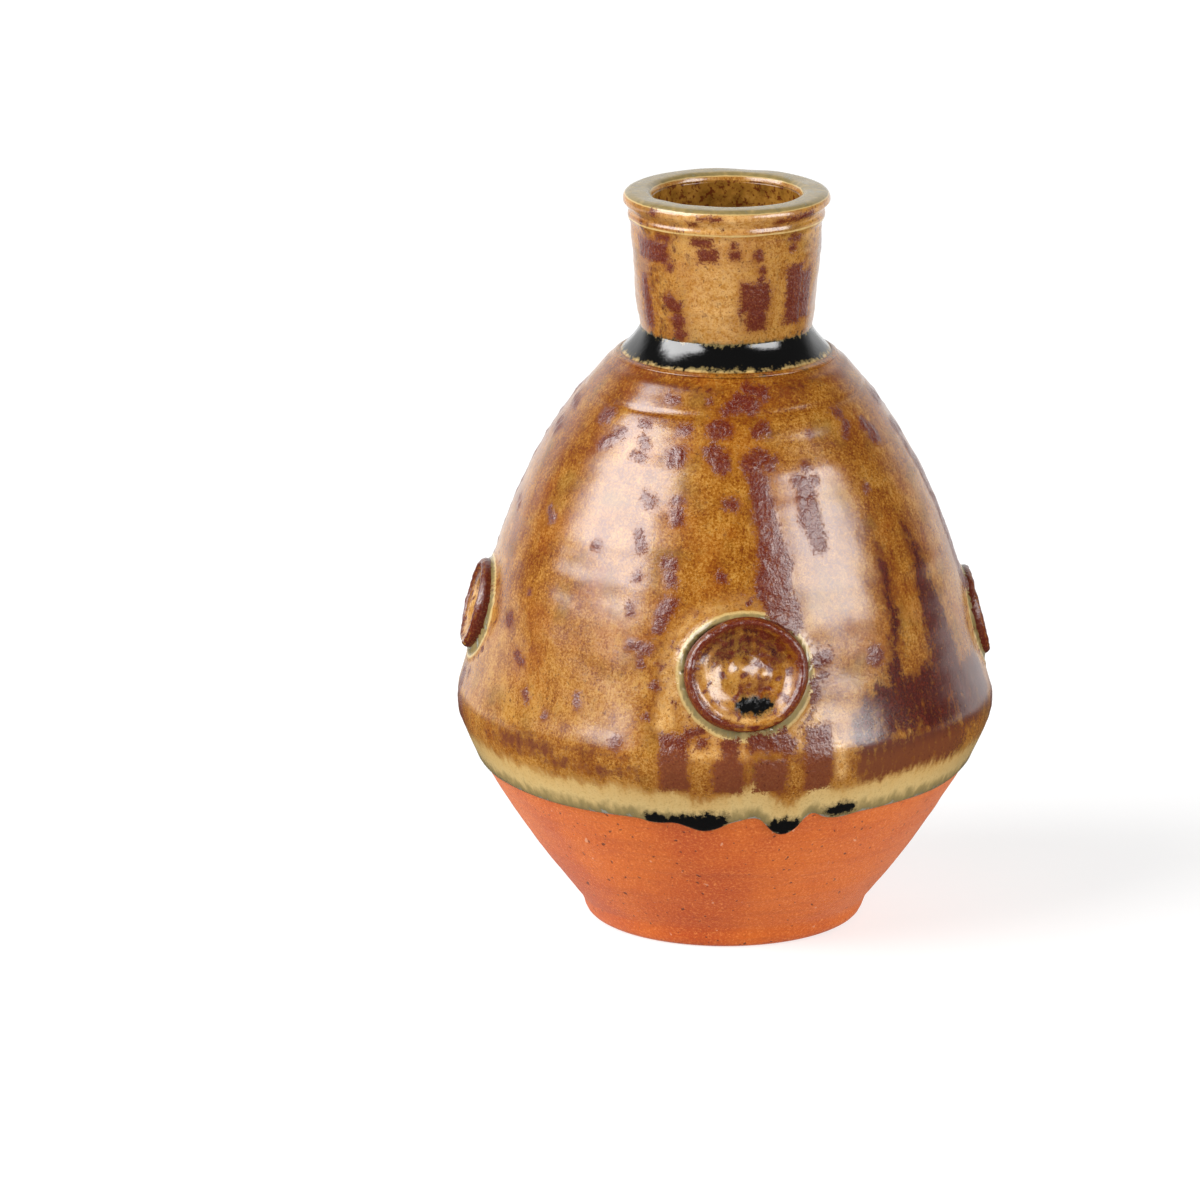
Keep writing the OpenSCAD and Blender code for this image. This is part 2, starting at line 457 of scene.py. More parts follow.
    # russet glaze is lumpy and sparkles, the rest is smooth like orange peel
    peel = t.noise(2.6, 2, shift=6)
    crystals = t.noise(0.75, 2, rough=0.5, shift=8)
    normal = t.bump(peel, 0.03)
    normal = t.bump(fine, 0.018, normal)
    bumpy = t.math("MAXIMUM", in_russet, t.math("MULTIPLY", t.field("pale"), 0.5))
    rough_spots = t.math("MULTIPLY", t.math("SUBTRACT", crystals, 0.5), bumpy)
    normal = t.bump(rough_spots, 0.16, normal)
    normal = t.bump(t.math("MULTIPLY", fine_swing, in_russet), 0.06, normal)
    rough = t.plus(0.15, fine, 0.12)
    rough = t.plus(rough, in_pool, -0.12)
    return t.finish(Base_Color=body, Roughness=rough, IOR=1.65, Normal=normal)


def liner_material():
    """The same glaze inside, olive ochre with dark russet speckles."""
    t = Tree("liner_glaze")
    mottle = t.noise(3, 4, rough=0.65)
    body = t.colours(mottle, [
        (0.3, srgb(96, 62, 18)), (0.55, srgb(140, 96, 36)), (0.75, srgb(168, 124, 56)),
    ])
    specks = t.ramp(t.noise(1.3, 5, rough=0.65, shift=4), 0.52, 0.58)
    body = t.tint(body, specks, 0.85, srgb(78, 26, 10))
    normal = t.bump(mottle, 0.1)
    return t.finish(Base_Color=body, Roughness=0.18, Normal=normal)


bare_clay = clay_material()
amber_glaze = glaze_material("amber_glaze")
russet_glaze = glaze_material("russet_glaze")
pooled_glaze = glaze_material("pooled_glaze")
liner_glaze = liner_material()

# ---------------------------------------------------------------- clay body and neck


def clay_body():
    """The bare clay, foot to seam, as a closed shell round its hollow."""
    angle = np.linspace(0, 360, 400, endpoint=False)[None, :]
    bevel = np.array([[20, 0], [25.4, 0], [26.1, 0.12], [26.6, 0.4], [27.0, 0.8]])
    outer_z = np.append(np.arange(1.2, GLAZE_EDGE + 5, 0.45), np.arange(GLAZE_EDGE + 6, SEAM, 2.5))
    outer = np.stack([clay_r(outer_z), outer_z], axis=1)
    inner_z = np.arange(SEAM - 0.5, FLOOR + 1, -3.0)
    inner = np.stack([liner_r(inner_z) + GLAZE_T, inner_z], axis=1)
    floor = np.array([[18, FLOOR]])
    outline = np.vstack([bevel, outer, inner, floor])
    radius, height = outline[:, :1], outline[:, 1:]
    points = placed(angle, radius, height)
    shown = step_up(height, 1, 3) * (1 - step_up(height, GLAZE_EDGE + 5, GLAZE_EDGE + 7))
    shown = shown * (np.arange(len(outline))[:, None] < len(bevel) + len(outer))
    relief = 0.10 * lumps(points, 24, 1) + 0.035 * lumps(points, 5, 2, (6, 6, 1))
    points = placed(angle, radius + shown * relief, height)
    piece = skin("clay_body", points, bare_clay, loop=False, caps=True)
    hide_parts("body")


clay_body()
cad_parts["neck"].data.materials.clear()
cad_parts["neck"].data.materials.append(bare_clay)

# ---------------------------------------------------------------- where the glaze breaks

# Heights of the fine level marks
BELLY_LINE = 45.2             # a brown line just above the widest point, partly painted shade where the wall turns under
THROWING_LINE = 106.4         # a groove with an olive line in it, round the shoulder
SHOULDER_BROWN = 110.6        # a soft brown ring above it
SHOULDER_LINE = 111.6         # a fainter groove under the seam
COLLAR_LINE = 140.0           # a pale line where the collar starts

# Russet breaks on the belly and shoulder: (angle, height, half width) along each stroke
RUSSET = [
    # streaks that ran down from the shoulder
    [(5.5, 95.5, 1.5), (6.5, 91, 1.8), (7.5, 85, 2.2), (8.5, 81, 3.0), (7.5, 76.8, 3.2)],
    [(8, 74.5, 2.6), (9.5, 72.5, 3.2), (12, 70, 1.6)],
    [(18, 95, .9), (24, 94.8, .7)], [(20, 93.5, 1.6), (20, 88.5, 2.0), (21.5, 84, 1.3)],
    [(32.5, 62.3, 1.7)],
    # spots under the shoulder line
    [(-9, 104.1, 1.3), (-5.5, 104.3, 1.3)], [(-9.5, 100.6, 1.3), (-6, 98.6, 1.6)],
    [(-22, 99.2, 1.5), (-21.5, 99.4, 1.5)], [(-21.5, 104, .5), (-19.5, 103.9, .6)],
    [(3.5, 98.4, 1.6), (6, 99.3, 1.5)], [(8.5, 99.6, .8), (9.5, 98.5, 1.1)], [(12, 99, .35)],
    [(6.5, 103.6, .6), (10, 104.2, .9)], [(-4.5, 107.3, .7), (-1.5, 107.8, .9)],
    [(1, 108.9, 1.1), (6, 108.2, 1.4)], [(5.5, 110.8, .8), (12, 109.8, .9)],
    [(-31, 109, .4), (-28, 108.5, .5)], [(-26.5, 108.5, .35)], [(-11.5, 108.7, .4)],
    [(-38.5, 104.1, .5), (-35.5, 104, .5)], [(-36.5, 101.8, .5), (-33.5, 100.8, .6)],
    [(-37.5, 99, .5), (-33.5, 98.8, .6)], [(-52, 99.6, .8), (-46, 102.2, .9)],
    [(-59, 104, .7), (-55.5, 104.3, 1)], [(42.5, 105, .35), (45.5, 105, .45)],
    [(42.5, 101.3, .4), (45.5, 103, .6)], [(27, 102.5, .3)], [(42, 91.9, .45)], [(22, 97.2, .7)],
    [(55.5, 102, 1), (58, 100, 1.7)],
    # lines of drops on the upper belly
    [(-20, 92, .4), (-18.3, 92, .5)], [(-18.8, 90, 1), (-18.6, 88.6, .9)],
    [(-20.3, 81.1, .9), (-18.7, 80.8, 1)], [(-19, 79, .9), (-18.4, 77.8, .9)],
    [(-18.6, 73.6, 1.3), (-20.3, 71.8, 1.1), (-20.8, 69, .8)], [(-29, 73.2, .5), (-28.2, 71.6, .7)],
    [(-4.4, 91.8, .7), (-2.2, 91.6, .8)], [(-5.6, 78.9, .8)], [(-29.5, 92.5, .6), (-27, 91.4, .8)],
    [(-29.5, 86, .5), (-28, 83.6, .8)], [(-27.8, 78.2, .7)], [(-41.5, 82.8, .8)],
    [(-63, 86.4, .6), (-60.5, 85.2, .8)], [(-66.5, 64.8, 1.3)], [(-60.8, 71, .35)],
    # spots on the lower belly
    [(-27.4, 65.8, .7), (-23.4, 65.3, .8)], [(-25, 64.2, .4), (-24.4, 62.4, .3)],
    [(-20.6, 58.7, .7)], [(-22, 52.8, .3)], [(-60.5, 59.5, .6), (-58.2, 58.2, .8)],
    [(-39.5, 55, .5), (-38.8, 52.8, .4)], [(-54.6, 53.2, .4), (-53.6, 52, .4)], [(-28.5, 47.6, 1.2)],
    [(-47.5, 50, .4)], [(17, 63, 1.3), (19.6, 63.8, 1)], [(15.8, 57, .9), (15.6, 59.5, .7)],
    [(18, 60.2, .8)], [(-12.5, 50.6, .6), (-9.6, 50.9, .7)], [(1, 48.8, 1), (9, 48.3, 1.4)],
]

# The faint arc where the belly turns in, left of the blocks
ARC = [[(-24, 42.3, 1.3), (-34, 41.9, .9), (-40, 42.2, 1.3), (-52, 42.6, 1.3), (-66, 43.2, 1.0)]]

# Squared russet blocks: (angle, half width, lowest, highest)
BLOCKS = [
    (-15.5, 2.5, 39.6, 49.8), (-4.0, 2.6, 39.4, 45.2), (-3.6, 1.5, 44, 49.5), (-9.5, 0.8, 47.8, 49.6),
    (4.8, 2.8, 39.4, 45.4), (4.5, 3.6, 47.4, 50.2), (15.4, 2.4, 39.3, 51),
]

# Broad soft brown stretches, in the form of the russet strokes
BROWN = [
    [(28.5, 49, 4.5), (34, 52.5, 5), (50, 52, 6.5)], [(28, 43, 4), (54, 43, 4)],
    [(39.5, 82, .2), (39.8, 77, 1.2), (39.6, 68, 1.5), (38.5, 62, 1.6), (37.5, 57, 2.6)],
    [(52.5, 84, .5), (54.0, 78, 2.1), (54.5, 70, 3.6), (55.5, 62, 4.6), (56, 54, 6)],
    [(60, 50, 6), (72, 50, 5)],
    [(120, 60, 5), (126, 45, 6)], [(118, 78, 1), (120, 62, 3)], [(130, 74, .8), (131, 55, 3)],
    [(215, 50, 7), (232, 46, 5)], [(212, 74, 1), (214, 56, 4)], [(226, 80, 1), (228, 52, 4)],
    [(160, 46, 3.5), (175, 47, 4)], [(300, 44, 1.5), (315, 44, 1.5)],
]

# Pale mottles in the same form, round the front disc; they are partly painted highlight
PALE_AND_HIGHLIGHTS = [
    [(-18, 52, 1.4), (-17, 57, 1.6), (-17.5, 62, 1.4), (-14, 67, 1.0)], [(11.5, 49.5, 2.2), (15, 53, 1.4)],
    [(-11, 47, 1.2), (-1, 46.8, .8)], [(20, 47, 1), (20.5, 42, .8)],
]

# Places and depths of the runs that hang from the edge, and of the arches between them
RUNS = [(-20.5, 3.4, 0.7), (-9.5, 5.0, 2.0), (9, 4.4, 3.4), (22.5, 4.0, 0.5), (96, 4, 1.6), (118, 6, 1.1),
        (155, 3.4, 2.8), (197, 7, 1.5), (236, 3.6, 2.4), (261, 5, 0.9)]
ARCHES = [(2.5, 3.6, 0.9), (15.3, 2.6, 1.3)]

# Black pools just above the edge
POOLS = [
    [(-21.5, 32.9, .7), (-17, 32.6, .6), (-12, 32.4, 1.1), (-9.5, 32.1, 1.7), (-6.5, 32.6, 1.2),
     (-5.3, 33.2, .7)],
    [(6.8, 31.2, .9), (9, 31.1, 1.6), (11.2, 31.4, .9)], [(19.6, 33.9, .5), (22, 34.0, .9), (24.6, 34, .6)],
    [(94, 32.0, .8), (98, 32.0, .8)], [(114, 32.2, .6), (122, 32.2, .7)],
    [(153.5, 31, .9), (156.5, 31, .9)],
    [(192, 32.2, .8), (202, 32, 1)], [(234.5, 31.4, 1), (237.5, 31.4, 1)],
]


def edge_height(angle):
    """Height of the wavy lower edge of the glaze."""
    level = GLAZE_EDGE + 0.45 + 0.15 * np.sin(np.radians(3 * angle + 40))
    level = level + 0.1 * np.sin(np.radians(11 * angle))
    for centre, width, drop in RUNS:
        level = level - drop * np.exp(-np.abs(around(angle, centre) / width) ** 2.6)
    for centre, width, rise in ARCHES:
        level = level + rise * bell(around(angle, centre), width)
    return level


def beside_disc(angle, height, radius):
    """Distance outside the nearest disc's edge, in mm, and the angle round that disc from its right."""
    gap = np.full(np.broadcast(angle, height).shape, 99.0)
    turn = np.zeros_like(gap)
    for node, centre in DISCS.items():
        middle, share = disc_place(node)
        upward = disc_axes(node)[2]
        across = radius * np.sin(np.radians(around(angle, centre)))
        across = np.where(np.abs(around(angle, centre)) < 60, across, 99)
        up = (height - middle) / upward[2]
        ratio = np.hypot(across / DISC_WIDE, up / DISC_TALL) / share
        here = (ratio - 1) * np.hypot(across, up) / np.maximum(ratio, 0.01)
        turn = np.where(here < gap, np.degrees(np.arctan2(up, across)), turn)
        gap = np.minimum(gap, here)
    return gap, turn


# ---------------------------------------------------------------- glaze coats


def rear_breaks(seed):
    """Russet streaks, spots and blocks for the part of the belly that faces away."""
    rng = np.random.default_rng(seed)
    strokes = []
    for centre in np.arange(78, 282, 9.5):
        angle = centre + rng.uniform(-3, 3)
        size = rng.uniform(0.6, 1.6)
        strokes.append([(angle - 1, 104 + rng.uniform(-1, 1), size * .7), (angle + 2, 103.6, size * .6)])
        strokes.append([(angle, 99 + rng.uniform(-1.5, 1.5), size)])
        if rng.uniform() < 0.35:
            foot = rng.uniform(62, 78)
            lower = [(angle + 1.5, 85, size * 1.4), (angle + 2, foot, size * 1.7)]
            strokes.append([(angle, 95, size)] + lower)
        else:
            for level in rng.uniform(50, 93, 3):
                strokes.append([(angle + rng.uniform(-3, 3), level, rng.uniform(.4, 1.1))])
        width = rng.uniform(1.6, 2.8)
        strokes.append([(angle, rng.uniform(43, 49), width), (angle, 42, width)])
    return strokes


def body_coat():
    """The glaze from its wavy edge to the seam, with runs, throwing lines and fillets round the discs."""
    angle = np.linspace(0, 360, COLUMNS, endpoint=False)[None, :]
    edge = edge_height(angle)
    reach = SEAM - GLAZE_EDGE + 1
    climb = np.append(0, np.cumsum(0.46 - 0.36 * np.exp(-np.arange(220) / 4)))
    climb = (climb[climb < reach] / reach)[:, None]
    height = edge + climb * (SEAM - edge)
    above = height - edge
    radius = clay_r(height)
    points = placed(angle, radius, height)

    gap, turn = beside_disc(angle, height, radius)
    to_mm = radius * math.pi / 180
    russet = inside_strokes(angle, height, RUSSET + rear_breaks(5), to_mm, wrap=True)
    russet = np.maximum(russet, inside_blocks(angle, height, BLOCKS, to_mm))
    pool = inside_strokes(angle, height, POOLS, to_mm, wrap=True)
    groove = 0.8 + 1.0 * bell(around(turn, 270), 70)

    lift = GLAZE_T * (1 - np.exp(-above / 0.3))
    lift += 0.35 * step_up(pool, -1.5, 0.5)
    lift += 0.12 * bell(above - 1.2, 1.0)
    lift += 0.07 * lumps(points, 24, 3) + 0.015 * lumps(points, 7, 4)
    lift += 0.010 * lumps(points, 2.4, 5, (14, 14, 1)) * step_up(height, 80, 100)
    line_z = THROWING_LINE + 0.3 * np.sin(np.radians(angle))
    lift -= 0.22 * bell(height - line_z, 0.35)
    lift -= 0.10 * bell(height - SHOULDER_LINE, 0.3)
    lift += (0.10 + 0.05 * lumps(points, 2.0, 6)) * step_up(russet, -0.6, 0.8)
    lift += 0.8 * np.exp(-np.maximum(gap, 0) / (0.6 * groove)) * (1 - step_up(above, 70, 80))
    lift += 0.2 * bell(gap - groove - 0.25, 0.22)
    lift = np.where(gap < -0.4, -0.4, lift)
    lift *= step_up(above, -0.01, 0.12)
    outer = leaning(angle, height, clay_r, lift)

    inner_rows = np.linspace(len(climb) - 1, 0, 14).round().astype(int)
    inner = leaning(angle, height[inner_rows], clay_r, np.full_like(height[inner_rows], -0.12))

    def both(values):
        return np.vstack([values, values[inner_rows]])

    brown = 0.85 * step_up(inside_strokes(angle, height, BROWN, to_mm, wrap=True), -2.6, 2.4)
    faint = 0.5 * step_up(inside_strokes(angle, height, ARC, to_mm, wrap=True), -1.4, 1.0)
    # partly painted shade: a brown line at the belly's turn
    brown = np.maximum(np.maximum(brown, faint), 0.35 * bell(height - BELLY_LINE, 0.5))
    brown = np.maximum(brown, 0.35 * bell(height - SHOULDER_BROWN, 0.9))
    pale = step_up(inside_strokes(angle, height, PALE_AND_HIGHLIGHTS, to_mm, wrap=True), -1.6, 1.0)
    # painted highlight: a pale ring just outside each disc, brightest on its left, where the fillet would
    # catch the lamp
    pale = np.maximum(pale, bell(gap - 2.6, 1.6) * (0.45 + 0.3 * np.cos(np.radians(turn - 200))))
    near = 0.9 * lumps(points, 2.6, 51) - 1.0 - 0.8 * np.abs(gap - 2.8)
    russet = np.maximum(russet, near)
    edge_field = np.minimum(above, 1.4 + 9 * np.maximum(gap - groove + 0.3, 0))
    edge_field = np.minimum(edge_field, 7.4 + 12 * np.abs(height - line_z))
    fields = {"russet": both(russet), "pool": both(pool), "edge": both(edge_field),
              "brown": both(brown), "pale": both(pale)}
    piece = skin("belly_glaze_coat", np.vstack([outer, inner]), amber_glaze, fields=fields)
    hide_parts("body_glaze", "glaze_runs")


body_coat()

# The same for the neck and collar
NECK_RUSSET = [
    [(-50, 143.6, .5)], [(-41, 133, .6)], [(-24, 138.5, .6), (-16, 138.3, .7)], [(-12.5, 136, .7)],
    [(-1, 136.2, .6), (1.5, 136, .7)], [(-.5, 137.8, .3)], [(14.5, 135.8, .8)],
    [(17, 132.6, .6)], [(17.5, 131, .4)], [(-42.5, 126, 1.2), (-38, 125, 1.3)], [(-37.5, 122.3, 1.4)],
    [(-36.5, 119.6, 1.2)], [(-50, 138.4, .5), (-42, 138.6, .4)], [(-19.5, 143.5, .2), (-9, 143.4, .2)],
    [(-26, 142, .2), (-23, 142, .25)], [(-66, 129, 1), (-64, 121, 1.2)],
    [(38.5, 138.5, .4), (43.5, 138.4, .4)], [(39, 136.5, .5)], [(26, 142.3, .3), (50, 142.8, .5)],
    [(84, 135, 1), (92, 133, 1.4)], [(110, 129, 2), (112, 123, 1.4)], [(150, 137, .8)],
    [(163, 130, 1.6), (165, 124, 1.8)], [(200, 134, 1.2), (206, 135, .8)],
    [(228, 126, 1.6), (230, 121, 1.2)], [(255, 137, .9), (262, 136.5, .7)],
]
NECK_BLOCKS = [
    (13.6, 2.7, 124.8, 130.3), (14.6, 1.7, 121.2, 126), (42.5, 2.0, 121.5, 132.8), (54, 1.6, 122, 131),
    (-57, 4.3, 133.7, 137.3), (-16, 1.7, 134.8, 137.0),
]


def neck_coat():
    """The glaze over the neck and round the rim to the mouth."""
    angle = np.linspace(0, 360, 360, endpoint=False)[None, :]
    rise = np.arange(RING_TOP - 1.2, LINER_TOP - 0.6, 0.3)
    round_r = TOP - LINER_TOP
    mouth = liner_r(LINER_TOP - 1)
    sweep = np.radians(np.arange(-10, 91, 6))
    across = round_r * np.cos(sweep)
    up = LINER_TOP + round_r * np.sin(sweep)
    wall = np.stack([neck_r(np.maximum(rise, RING_TOP + 0.02)), rise], 1)
    outer_corner = np.stack([RIM_R - round_r + across, up], 1)
    inner_corner = np.stack([mouth + round_r - across, up], 1)[::-1]
    outline = np.vstack([wall, outer_corner, inner_corner])
    outward = np.gradient(outline, axis=0)
    outward = np.stack([outward[:, 1], -outward[:, 0]], 1) / np.hypot(*outward.T)[:, None]
    height = outline[:, 1:]
    points = placed(angle, outline[:, :1], height)
    to_mm = outline[:, :1] * math.pi / 180
    russet = inside_strokes(angle, height, NECK_RUSSET, to_mm, wrap=True)
    russet = np.maximum(russet, inside_blocks(angle, height + 0 * angle, NECK_BLOCKS, to_mm))
    from_line = 30 * np.abs(height - COLLAR_LINE)
    # partly painted reflection: the olive grey round the rim top also stands in for the sheen of the bright
    # backdrop
    from_top = 25 * np.abs(np.minimum(height - TOP + 0.6, 0))
    edge = 1.3 + np.minimum(from_line, from_top)
    brown = 0.3 * bell(around(angle, -58), 26) + 0.25 * bell(around(angle, 62), 24)
    # a paler collar above 140.5 mm, and a painted highlight: a broad pale stripe down the front of the
    # neck, left of the middle
    pale = 0.3 * step_up(height, 140.5, 142) + 0.7 * bell(around(angle, -12), 22)
    lift = 0.05 * lumps(points, 9, 11) + 0.025 * lumps(points, 2, 12, (12, 12, 1))
    lift = lift + 0.08 * step_up(russet, -0.5, 0.8)
    lift[:3] = 0
    lift[-6:] = 0

    def at(depth):
        return placed(angle, outline[:, :1] + depth * outward[:, :1], height + depth * outward[:, 1:])

    outer = at(lift)
    inner = at(np.full_like(lift, -GLAZE_T * 0.9))[::-1][::4]
    pool = RING_TOP - 0.6 - np.vstack([height, height[::-1][::4]])

    def both(values):
        values = np.broadcast_to(values, lift.shape)
        return np.vstack([values, values[::-1][::4]])

    fields = {"russet": both(russet), "pool": pool, "edge": both(edge),
              "brown": both(brown), "pale": both(pale)}
    piece = skin("neck_glaze_coat", np.vstack([outer, inner]), amber_glaze, fields=fields)
    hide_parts("neck_glaze")


neck_coat()


def pooled_ring():
    """Glaze pooled thick and black in the seam round the neck's root."""
    angle = np.linspace(0, 360, 360, endpoint=False)[None, :]
    height = np.linspace(SEAM + 0.05, RING_TOP - 0.05, 26)[:, None]
    radius = ring_r(height) + 0.0 * angle
    feather_out = np.array([[1.2], [0.8], [0.4]])
    feather_down = np.array([[-0.5], [-0.25], [-0.05]])
    feather = placed(angle, ring_r(SEAM + 0.05) + feather_out, SEAM + feather_down)
    outer = placed(angle, radius + 0.02 * lumps(placed(angle, radius, height), 6, 21), height)
    core_r = ring_r(RING_TOP - 0.1) - GLAZE_T - 0.1
    top = placed(angle, np.array([[core_r]]), np.array([[RING_TOP]]))
    bottom = placed(angle, np.array([[core_r], [core_r + 1.5]]), np.array([[SEAM - 0.4], [SEAM - 0.7]]))
    points = np.vstack([feather, outer, top, bottom])
    level = points[..., 2]
    pool = np.minimum(RING_TOP - 0.5 - level, level - SEAM - 0.9)
    edge = 2.0 + 12 * np.maximum(SEAM + 0.6 - level, 0)
    fields = {"russet": -9.0, "pool": pool, "edge": edge, "brown": 0.0, "pale": 0.0}
    piece = skin("pooled_neck_ring", points, pooled_glaze, fields=fields)
    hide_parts("neck_ring_glaze")


pooled_ring()


def liner_coat():
    """The glaze inside, from the mouth down to the floor, as a closed skin."""
    angle = np.linspace(0, 360, 240, endpoint=False)[None, :]
    level = np.append(np.arange(LINER_TOP + 0.3, SEAM, -0.5), np.arange(SEAM, FLOOR + 0.6, -1.5))
    shown = np.stack([liner_r(np.minimum(level, LINER_TOP - .02)), level], 1)
    floor = np.array([[16, FLOOR + GLAZE_T], [1, FLOOR + GLAZE_T], [1, FLOOR], [16, FLOOR]])
    hidden = shown[::-6] + [GLAZE_T * 0.8, 0]
    outline = np.vstack([shown, floor, hidden])
    points = placed(angle, outline[:, :1], outline[:, 1:])
    piece = skin("liner_glaze_coat", points, liner_glaze)
    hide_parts("liner_glaze")


liner_coat()

# ---------------------------------------------------------------- pressed discs

# Height of a disc's face from its middle (0) to its edge (1), then places down its side: (share, height)
DISC_PROFILE = smooth(
    [0, 0.08, 0.16, 0.25, 0.34, 0.42, 0.50, 0.60, 0.70, 0.79, 0.84, 0.88, 0.92, 0.96, 1.0],
    [1.35, 1.30, 1.10, 0.80, 0.55, 0.55, 0.75, 1.15, 1.62, 2.12, 2.52, 2.84, 2.86, 2.6, 2.0],
)
DISC_SIDE = np.array([
    [1.004, 1.5], [1.0, 0.8], [0.995, 0], [0.985, -1.0], [0.96, -2.6], [0.5, -2.8], [0.05, -2.8],
])

# The black pool in the dish, as a stroke, and the low bumps, which also carry painted reflections: (across,
# up, size)
DISC_POOL = [[(-.3, -5.8, 1.2), (2.0, -5.9, 1.4), (3.7, -5.5, .9)]]
DISC_BUMPS = [(-1.6, 1.2, 1.3), (3.5, -0.2, 1.2)]


def disc_fields(u, v, face, turn, spots):
    """Where a disc's glaze is russet, black, olive, brown and pale; some of the pale is painted highlight.
    """
    rim = 1.0 - np.abs(face - 0.905) / 0.06 - 2.2 * bell(around(turn, 285), 24)
    bowl = step_up(v, -0.5, 4.5) * (1 - step_up(face, 0.78, 0.88)) * (0.85 + 0.15 * np.sin(face * 34))
    mottles = 0.8 * spots - 1.3 + 0.5 * step_up(u, 0, 4)
    russet = np.maximum(rim, mottles)
    russet = np.where(face > 0.985, 0.8, russet)
    pale = bell(face - 0.80, 0.08) * bell(around(turn, 272), 42)
    # painted reflections: pale spots on the two low bumps
    for x, y, size in DISC_BUMPS:
        pale = pale + 0.8 * bell(np.hypot(u - x, v - y), size)
    # painted highlight: a cream crescent on the left inner wall of the dish
    pale = pale + bell(around(turn, 186), 40) * bell(face - 0.62, 0.16)
    return {"russet": russet, "pool": inside_strokes(u, v, DISC_POOL), "brown": 0.7 * bowl,
            "edge": np.where(face > 0.985, 1.4, 99.0), "pale": np.minimum(pale, 1)}


def pressed_disc(node, seed):
    """A pad of clay pressed on and hollowed by a thumb, with a raised rim and a low boss."""
    turn = np.linspace(0, 360, 220, endpoint=False)[None, :]
    dish = np.linspace(0.02, 1, 80)[:, None]
    wobble = 1 + 0.012 * np.sin(np.radians(2 * turn + seed))
    wobble = wobble + 0.008 * np.sin(np.radians(5 * turn + 2 * seed))
    face = np.vstack([dish, DISC_SIDE[:, :1]]) + 0 * turn
    u = DISC_WIDE * face * np.cos(np.radians(turn)) * wobble
    v = DISC_TALL * face * np.sin(np.radians(turn)) * wobble
    out = np.vstack([DISC_PROFILE(dish), DISC_SIDE[:, 1:]]) + 0 * turn
    local = np.stack([u, v, 0 * u], -1)
    shown = np.vstack([np.ones_like(dish), 0 * DISC_SIDE[:, :1]])
    on_rim = step_up(face, 0.80, 0.88)
    relief = 0.06 * lumps(local, 5, 31 + seed) + 0.010 * np.sin(face * 50) * step_up(v, -1, 3)
    relief = relief + (0.02 * lumps(local, 1.3, 41 + seed) + 0.04 * lumps(local, 2.6, 45 + seed)) * on_rim
    relief = relief - (0.09 * u + 0.04 * v) * (1 - step_up(face, 0.62, 0.86))
    for x, y, size in DISC_BUMPS:
        relief = relief + 0.35 * bell(np.hypot(u - x, v - y), size)
    out = out + relief * shown

    middle, share = disc_place(node)
    base, sideways, upward, outward = disc_axes(node)
    corners = np.array([v.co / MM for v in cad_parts[node].data.vertices])
    out = out * ((corners - base) @ outward).max() / DISC_THICK
    bend = (share * u) ** 2 / (2 * clay_r(middle)) * np.clip((2.6 - out) / 3, 0, 1)
    points = base + share * u[..., None] * sideways + share * v[..., None] * upward
    points = points + (out - bend)[..., None] * outward
    fields = disc_fields(u, v, face, turn, lumps(local, 2.4, 61 + seed))
    piece = skin(node.replace("disc", "pressed_disc"), points, russet_glaze,
                 loop=False, caps=True, fields=fields)
    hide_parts(node)


for number, disc in enumerate(DISCS):
    pressed_disc(disc, number)

# ---------------------------------------------------------------- stage, light and camera

CAMERA_TURN = -3.9            # degrees round the bottle, towards -X
CAMERA_RISE = 15.75           # degrees above level
CAMERA_FAR = 1500
AIM_HEIGHT = 62.7
AIM_LEFT = 24.4               # the bottle stands right of the middle of the picture
LENS = 230.1                  # a long lens, for a flat view
LAMP_FAR = 2000
LAMP_AIM = Vector((0, 0, 0.07))
WORLD_DIM = 0.08              # strength of the surroundings in front of the bottle
FLOOR_GLOW = 0.62             # light that the paper gives off near the bottle


def camera_side(turn, rise, far):
    """A point seen from the bottle at turn degrees from the camera's side, and rise degrees up."""
    dx, dy = direction(CAMERA_TURN + turn)
    level = far * math.cos(math.radians(rise))
    return Vector((dx * level, dy * level, far * math.sin(math.radians(rise)))) * MM


def add_camera():
    data = bpy.data.cameras.new("camera")
    data.lens = LENS
    data.sensor_width = 36
    data.clip_end = 20
    camera = bpy.data.objects.new("camera", data)
    sideways = camera_side(-90, 0, AIM_LEFT)
    back = camera_side(0, CAMERA_RISE, CAMERA_FAR)
    camera.location = back + sideways + Vector((0, 0, AIM_HEIGHT * MM))
    camera.rotation_euler = (-back).to_track_quat("-Z", "Y").to_euler()
    bpy.context.scene.collection.objects.link(camera)
    bpy.context.scene.camera = camera


def add_softbox(name, turn, rise, wide, tall, watts):
    """A large flat lamp that faces the middle of the belly."""
    data = bpy.data.lights.new(name, "AREA")
    data.shape = "RECTANGLE"
    data.size = wide * MM
    data.size_y = tall * MM
    data.energy = watts
    lamp = bpy.data.objects.new(name, data)
    lamp.location = camera_side(turn, rise, LAMP_FAR) + LAMP_AIM
    lamp.rotation_euler = (LAMP_AIM - lamp.location).to_track_quat("-Z", "Y").to_euler()
    bpy.context.scene.collection.objects.link(lamp)


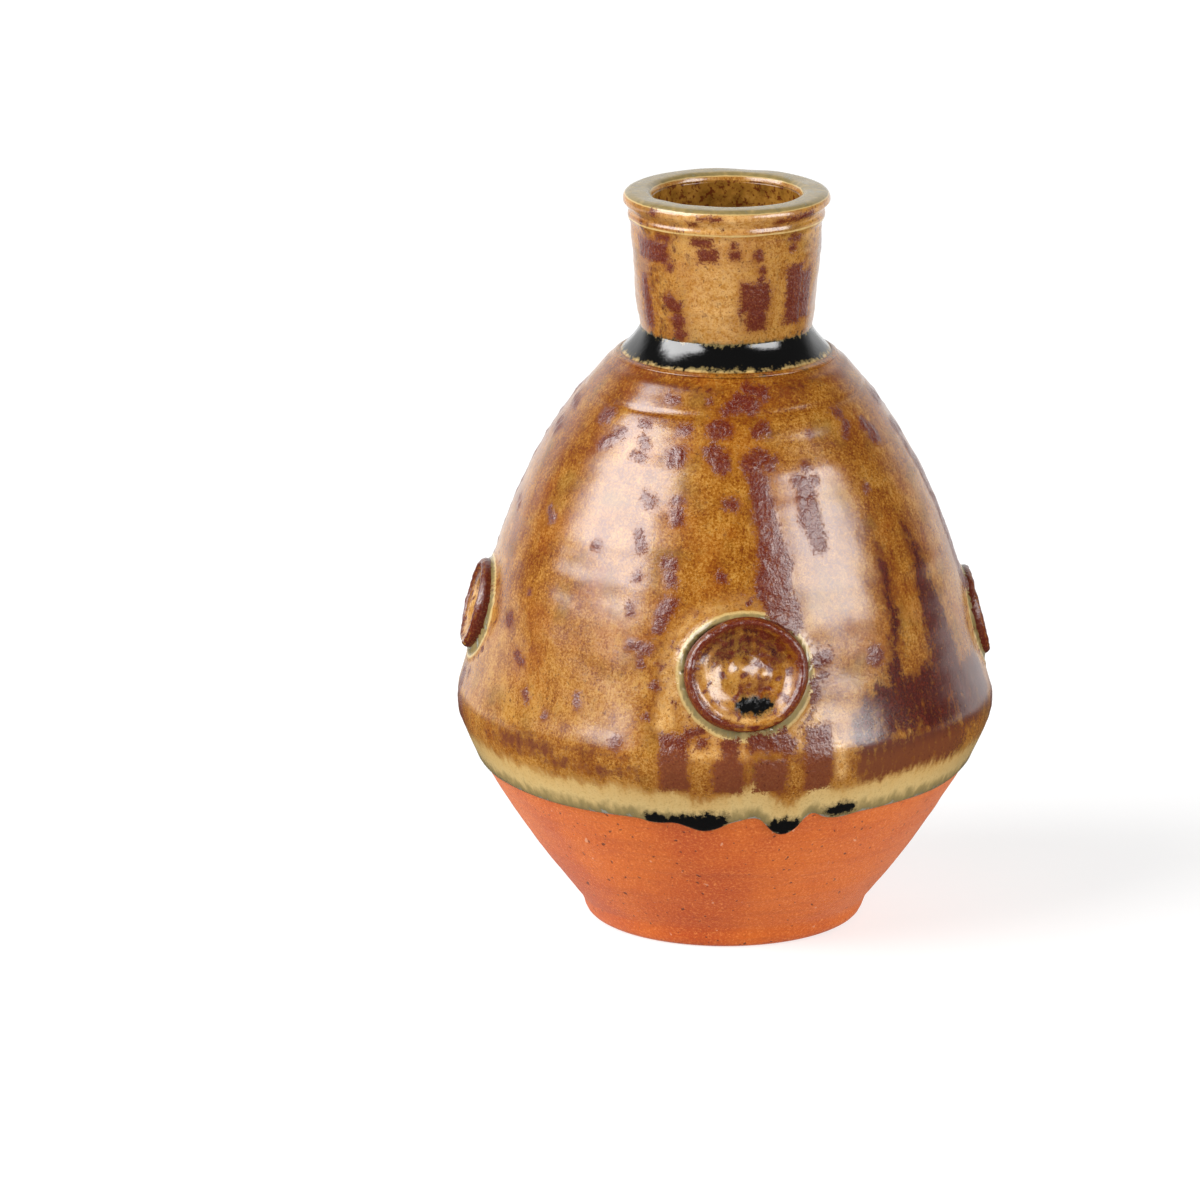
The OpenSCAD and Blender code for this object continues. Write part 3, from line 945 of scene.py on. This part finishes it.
def add_world():
    """White surroundings, dimmer behind the camera so that the glaze keeps its colour there."""
    world = bpy.data.worlds.new("studio")
    world.use_nodes = True
    bpy.context.scene.world = world
    nodes, links = world.node_tree.nodes, world.node_tree.links
    place = nodes.new("ShaderNodeTexCoord")
    front = nodes.new("ShaderNodeVectorMath")
    front.operation = "DOT_PRODUCT"
    front.inputs[1].default_value = camera_side(0, 0, 1000)
    links.new(place.outputs["Generated"], front.inputs[0])
    level = nodes.new("ShaderNodeMapRange")
    level.inputs["From Min"].default_value = -0.5
    level.inputs["From Max"].default_value = -0.75
    level.inputs["To Min"].default_value = WORLD_DIM
    level.inputs["To Max"].default_value = 1.0
    links.new(front.outputs["Value"], level.inputs["Value"])
    path = nodes.new("ShaderNodeLightPath")
    seen = nodes.new("ShaderNodeMix")
    links.new(path.outputs["Is Camera Ray"], seen.inputs["Factor"])
    links.new(level.outputs[0], seen.inputs["A"])
    seen.inputs["B"].default_value = 1.0
    links.new(seen.outputs["Result"], nodes["Background"].inputs["Strength"])
    nodes["Background"].inputs["Color"].default_value = (1, 1, 1, 1)


def add_floor():
    """White paper that glows, more so away from the bottle, so that low views end in white.

    Its reflection in the glaze fades out in front, where the real sheet would end.
    """
    t = Tree("floor_paper")
    paper = t.mix(t.noise(40, 2), srgb(170, 170, 170), srgb(174, 174, 174))
    path = t.node("ShaderNodeLightPath", {}, "Is Glossy Ray")
    front = camera_side(0, 0, 1000)
    ahead = t.node("ShaderNodeVectorMath", {0: t.place, 1: front}, "Value", operation="DOT_PRODUCT")
    dark = t.math("MULTIPLY", t.math("MULTIPLY", path, 0.97), t.ramp(ahead, -0.30, -0.12))
    light = t.math("SUBTRACT", FLOOR_GLOW, t.math("MULTIPLY", dark, FLOOR_GLOW))
    away = t.node("ShaderNodeVectorMath", {0: t.place}, "Value", operation="LENGTH")
    light = t.plus(light, t.ramp(away, 0.6, 1.5), 0.42)
    t.finish(Base_Color=t.mix(dark, paper, srgb(4, 4, 4)), Roughness=0.9,
             Emission_Color=(1, 1, 1, 1), Emission_Strength=light)
    mesh = bpy.data.meshes.new("floor")
    reach = 4
    corners = [(-reach, -reach, 0), (reach, -reach, 0), (reach, reach, 0), (-reach, reach, 0)]
    mesh.from_pydata(corners, [], [(0, 1, 2, 3)])
    mesh.materials.append(t.material)
    floor = bpy.data.objects.new("floor", mesh)
    bpy.context.scene.collection.objects.link(floor)


add_camera()
add_softbox("left_softbox", -68, 33, 1800, 1350, 70)
add_softbox("right_softbox", 56, 25, 1240, 1050, 36)
add_world()
add_floor()
bpy.context.scene.view_settings.view_transform = "Standard"
